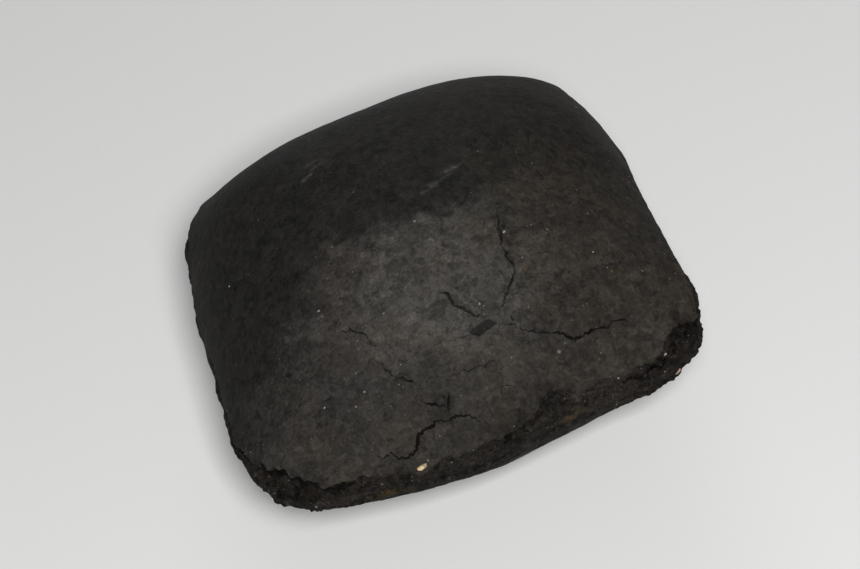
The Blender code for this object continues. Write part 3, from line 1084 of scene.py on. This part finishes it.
class BRIQUETTE_OT_grains(Operator):
    """Sets the mineral grains in the skin"""
    bl_idname = "briquette.grains"
    bl_label = "Mineral Grains"

    SEED = 7
    # Chance grains: half size of the smallest, how much the largest have more, and how far out they sit
    LEAST_HALF = 0.035 * MM
    MORE_HALF = 0.10 * MM
    LIFT = 0.2
    PALE_SHARE = 0.9
    # How likely a grain is on smooth and on broken skin, against 1 for dusty skin
    SMOOTH_WEIGHT = 0.12
    BROKEN_WEIGHT = 1.2
    # Height over the floor that is kept free of grains, so that none touches it
    FOOT_CLEARANCE = 0.3 * MM
    LARGE_TURN = (0.2, -0.25, 0.1)
    # The large ones: place from the seam's middle, half length, half width and half height, all in
    # millimetres, and finish
    LARGE = (
        ((-9.5, -25.4, 1.6), (0.70, 0.30, 0.36), 1),
        ((20.3, -23.8, -1.0), (0.55, 0.28, 0.28), 2),
        ((8.2, -8.9, 13.6), (0.22, 0.15, 0.18), 3),
        ((-13.6, -8.4, 11.8), (0.20, 0.12, 0.16), 3),
        ((16.6, -13.0, 9.9), (0.14, 0.11, 0.12), 3),
        ((19.6, -23.6, 2.0), (0.24, 0.14, 0.16), 3),
        ((-16.7, -17.6, 7.4), (0.16, 0.12, 0.12), 3),
        ((-21.2, 3.6, 7.8), (0.13, 0.10, 0.10), 3),
        ((11.3, -8.8, 13.0), (0.11, 0.10, 0.10), 0),
        ((13.8, -24.4, 2.0), (0.15, 0.11, 0.12), 3),
    )
    # The bright finish is a pale grain painted brighter, as a painted glint; the other finishes are the
    # grains' own colours
    FINISHES = (
        ("pale_mineral", (0.105, 0.100, 0.091)),
        ("golden_mineral", (0.52, 0.40, 0.22)),
        ("rosy_mineral", (0.30, 0.18, 0.14)),
        ("bright_mineral", (0.20, 0.195, 0.180)),
    )

    def execute(self, context):
        skin = bpy.data.objects["briquette_skin"].data
        chance = np.random.default_rng(self.SEED)
        count = len(skin.polygons)
        area, middle, normal = np.empty(count), np.empty(count * 3), np.empty(count * 3)
        skin.polygons.foreach_get("area", area)
        skin.polygons.foreach_get("center", middle)
        skin.polygons.foreach_get("normal", normal)
        middle, normal = middle.reshape(-1, 3), normal.reshape(-1, 3)
        liking = self.SMOOTH_WEIGHT + self.face_mask(skin, "dusty")
        weight = area * (liking + self.BROKEN_WEIGHT * self.face_mask(skin, "broken"))
        weight[middle[:, 2] < CAD_LOW.z + self.FOOT_CLEARANCE] = 0
        picked = chance.choice(count, context.scene.charcoal_finish.grain_count, p=weight / weight.sum())
        grains = bmesh.new()
        for face in picked:
            half = self.LEAST_HALF + self.MORE_HALF * chance.random() ** 4
            sizes = half * chance.uniform(0.5, 1.4, 3)
            finish = 0 if chance.random() < self.PALE_SHARE else int(chance.integers(1, 3))
            turn = chance.uniform(0, math.tau, 3)
            self.add(grains, middle[face] + normal[face] * half * self.LIFT, sizes, turn, finish)
        tree = tree_of(middle)
        for place, sizes, finish in self.LARGE:
            face = tree.find(np.array(place) * MM + SEAM_MIDDLE)[1]
            self.add(grains, middle[face], np.array(sizes) * MM, self.LARGE_TURN, finish)
        mesh = bpy.data.meshes.new("mineral_grains")
        grains.to_mesh(mesh)
        grains.free()
        for name, colour in self.FINISHES:
            mesh.materials.append(mineral_material(name, colour, grain_group_once()))
        piece = show("mineral_grains", mesh)
        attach(piece, "root")
        return {"FINISHED"}

    def face_mask(self, mesh, name):
        """The mask's value at one corner of each face, which is close enough at this cell size."""
        values = np.empty(len(mesh.vertices), np.float32)
        mesh.attributes[name].data.foreach_get("value", values)
        corners = np.empty(len(mesh.polygons) * 3, np.int32)
        mesh.polygons.foreach_get("vertices", corners)
        return values[corners.reshape(-1, 3)[:, 0]]

    def add(self, grains, place, sizes, turn, finish):
        """One faceted grain, half sunk in the skin."""
        matrix = Matrix.LocRotScale(Vector(place), Euler(turn), Vector(sizes))
        made = bmesh.ops.create_icosphere(grains, subdivisions=1, radius=1.0, matrix=matrix)
        for face in {face for vertex in made["verts"] for face in vertex.link_faces}:
            face.material_index = finish


class BRIQUETTE_OT_stage(Operator):
    """Builds the pale floor, the soft lights and the camera"""
    bl_idname = "briquette.stage"
    bl_label = "Stage"

    FLOOR_HALF_WIDTH = 2.0
    FLOOR_ROUGHNESS = 0.7
    SURROUNDINGS_COLOUR = (0.95, 0.97, 1.0, 1.0)
    # The key light: how far it is turned and raised from the camera, its side and its distance
    KEY_TURN = math.radians(6)
    KEY_RISE = math.radians(1)
    KEY_SIDE = 0.16
    KEY_DISTANCE = 0.62
    # The light behind: its place round the briquette, its side and its distance
    BACK_AZIMUTH = math.radians(168)
    BACK_ELEVATION = math.radians(24)
    BACK_SIDE = 0.5
    BACK_DISTANCE = 0.9

    def execute(self, context):
        stage = context.scene.briquette_stage
        self.floor(stage)
        aim = Vector(SEAM_MIDDLE)
        self.camera(context, stage, aim)
        key_away = self.direction(stage.azimuth + self.KEY_TURN, stage.elevation + self.KEY_RISE)
        self.light("key_light", stage.key_power, self.KEY_SIDE, aim, key_away, self.KEY_DISTANCE)
        back_away = self.direction(self.BACK_AZIMUTH, self.BACK_ELEVATION)
        self.light("back_light", stage.back_power, self.BACK_SIDE, aim, back_away, self.BACK_DISTANCE)
        world = bpy.data.worlds.new("studio")
        world.use_nodes = True
        background = world.node_tree.nodes["Background"]
        background.inputs["Color"].default_value = self.SURROUNDINGS_COLOUR
        background.inputs["Strength"].default_value = stage.surroundings
        context.scene.world = world
        context.scene.view_settings.view_transform = "Standard"
        return {"FINISHED"}

    def floor(self, stage):
        plate = bmesh.new()
        bmesh.ops.create_grid(plate, x_segments=1, y_segments=1, size=self.FLOOR_HALF_WIDTH)
        mesh = bpy.data.meshes.new("floor")
        plate.to_mesh(mesh)
        plate.free()
        mesh.materials.append(plain_material("pale_floor", stage.floor_colour, self.FLOOR_ROUGHNESS))
        floor = show("floor", mesh)
        floor.location.z = CAD_LOW.z

    def direction(self, azimuth, elevation):
        flat = math.cos(elevation)
        return Vector((math.sin(azimuth) * flat, -math.cos(azimuth) * flat, math.sin(elevation)))

    def camera(self, context, stage, aim):
        data = bpy.data.cameras.new("camera")
        data.lens = stage.lens
        data.sensor_width = 36.0
        data.clip_start = 0.01
        camera = bpy.data.objects.new("camera", data)
        context.scene.collection.objects.link(camera)
        away = self.direction(stage.azimuth, stage.elevation)
        look = (-away).to_track_quat("-Z", "Y").to_matrix().to_4x4()
        turn = Matrix.Rotation(-stage.roll, 4, "Z")
        camera.matrix_world = Matrix.Translation(aim + away * stage.distance) @ look @ turn
        context.scene.camera = camera

    def light(self, name, power, side, aim, away, distance):
        data = bpy.data.lights.new(name, "AREA")
        data.energy = power
        data.size = side
        lamp = bpy.data.objects.new(name, data)
        bpy.context.scene.collection.objects.link(lamp)
        lamp.location = aim + away * distance
        lamp.rotation_euler = (-away).to_track_quat("-Z", "Y").to_euler()


class BRIQUETTE_PT_panel(Panel):
    """Lists the briquette's steps and sizes"""
    bl_idname = "BRIQUETTE_PT_panel"
    bl_label = "Charcoal Briquette"
    bl_space_type = "VIEW_3D"
    bl_region_type = "UI"
    bl_category = "Briquette"

    def draw(self, context):
        for operator in (BRIQUETTE_OT_skin, BRIQUETTE_OT_grains, BRIQUETTE_OT_stage):
            self.layout.operator(operator.bl_idname)
        for name in GROUPS:
            group = getattr(context.scene, name)
            box = self.layout.box()
            for key in group.__annotations__:
                box.prop(group, key)


GROUPS = {
    "briquette_form": BriquetteForm,
    "briquette_relief": BriquetteRelief,
    "charcoal_finish": CharcoalFinish,
    "briquette_stage": BriquetteStage,
}
CLASSES = (*GROUPS.values(), BRIQUETTE_OT_skin, BRIQUETTE_OT_grains, BRIQUETTE_OT_stage, BRIQUETTE_PT_panel)


def register():
    for cls in CLASSES:
        bpy.utils.register_class(cls)
    for name, cls in GROUPS.items():
        setattr(bpy.types.Scene, name, PointerProperty(type=cls))


def unregister():
    for name in GROUPS:
        delattr(bpy.types.Scene, name)
    for cls in reversed(CLASSES):
        bpy.utils.unregister_class(cls)


def main():
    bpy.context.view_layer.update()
    register()
    bpy.ops.briquette.skin()
    bpy.ops.briquette.grains()
    bpy.ops.briquette.stage()


if __name__ == "__main__":
    main()
